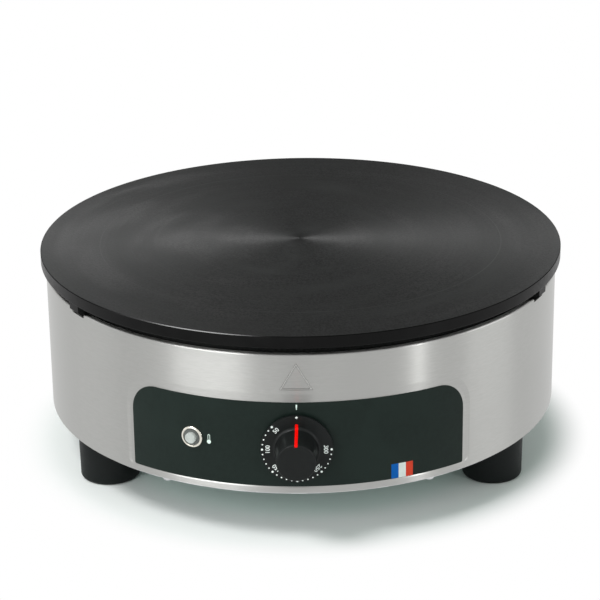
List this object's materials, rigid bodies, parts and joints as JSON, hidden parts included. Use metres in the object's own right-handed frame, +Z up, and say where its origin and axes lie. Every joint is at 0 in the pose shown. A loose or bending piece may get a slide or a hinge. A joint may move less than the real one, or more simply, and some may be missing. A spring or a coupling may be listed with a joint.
{
  "type": "electric crepe maker",
  "caption": "Round cast-iron crepe griddle on a brushed stainless drum with a dark wrapped control panel, a turning thermostat knob, a pilot lamp and black feet.",
  "frame": {"origin": "on the table, under the middle of the plate, at the height of the soles", "axes": "+Z up, -Y out of the control panel, +X to the right of someone who faces the panel"},
  "size_m": [0.3999, 0.4468, 0.16],
  "materials": {
    "griddle_plate": "machined, seasoned",
    "outer_element": "oxidised sheath",
    "inner_element": "oxidised sheath",
    "link_bars": "plain",
    "clamp_disc": "plain sheet",
    "clamp_studs": "zinc plated",
    "clamp_nuts": "zinc plated",
    "insulation_pad": "ceramic fibre",
    "reflector_pan": "aluminised sheet",
    "tie_rod": "zinc plated",
    "tie_rod_nuts": "zinc plated",
    "tie_rod_washers": "zinc plated",
    "thermostat_bulb": "copper",
    "bulb_clamp": "plain",
    "capillary_tube": "copper",
    "casing": "brushed round the drum",
    "plate_ledges": "plain",
    "control_fascia": "printed polyester skin",
    "pilot_bezel": "polished",
    "pilot_lens": "clear",
    "pilot_lamp": "moulded",
    "pilot_nut": "nickel plated",
    "thermostat_bracket": "zinc plated",
    "thermostat_body": "unglazed",
    "thermostat_screws": "zinc plated",
    "thermostat_shaft": "turned",
    "knob_sleeve": "turned",
    "control_knob": "satin",
    "knob_pointer": "satin",
    "terminal_block": "unglazed",
    "live_wires": "silicone sleeve",
    "neutral_wire": "silicone sleeve",
    "lamp_wires": "silicone sleeve",
    "earth_wire": "silicone sleeve",
    "earth_stud": "plain",
    "base_plate": "zinc-coated sheet",
    "base_screws": "stainless",
    "clip_nuts": "phosphated",
    "feet": "moulded",
    "foot_bolts": "zinc plated",
    "foot_washers": "zinc plated",
    "foot_nuts": "zinc plated",
    "gland_body": "polyamide",
    "gland_seal": "moulded",
    "gland_cap": "polyamide",
    "gland_locknut": "polyamide"
  },
  "bodies": {
    "stand": {"griddle_plate": "griddle_plate", "outer_element": "outer_element", "inner_element": "inner_element", "link_bars": "link_bars", "clamp_disc": "clamp_disc", "clamp_studs": "clamp_studs", "clamp_nuts": "clamp_nuts", "insulation_pad": "insulation_pad", "reflector_pan": "reflector_pan", "tie_rod": "tie_rod", "tie_rod_nuts": "tie_rod_nuts", "tie_rod_washers": "tie_rod_washers", "thermostat_bulb": "thermostat_bulb", "bulb_clamp": "bulb_clamp", "capillary_tube": "capillary_tube", "casing": "casing", "plate_ledges": "plate_ledges", "control_fascia": "control_fascia", "pilot_bezel": "pilot_bezel", "pilot_lens": "pilot_lens", "pilot_lamp": "pilot_lamp", "pilot_nut": "pilot_nut", "thermostat_bracket": "thermostat_bracket", "thermostat_body": "thermostat_body", "thermostat_screws": "thermostat_screws", "terminal_block": "terminal_block", "live_wires": "live_wires", "neutral_wire": "neutral_wire", "lamp_wires": "lamp_wires", "earth_wire": "earth_wire", "earth_stud": "earth_stud", "base_plate": "base_plate", "base_screws": "base_screws", "clip_nuts": "clip_nuts", "feet": "feet", "foot_bolts": "foot_bolts", "foot_washers": "foot_washers", "foot_nuts": "foot_nuts", "gland_body": "gland_body", "gland_seal": "gland_seal", "gland_cap": "gland_cap", "gland_locknut": "gland_locknut"},
    "knob": {"thermostat_shaft": "thermostat_shaft", "knob_sleeve": "knob_sleeve", "control_knob": "control_knob", "knob_pointer": "knob_pointer"}
  },
  "joints": [
    {"name": "knob_turn", "type": "hinge", "parent": "stand", "child": "knob", "pos_m": [0, -0.2, 0.074], "axis": [0, 1, 0], "range_deg": [0, 270]}
  ]
}
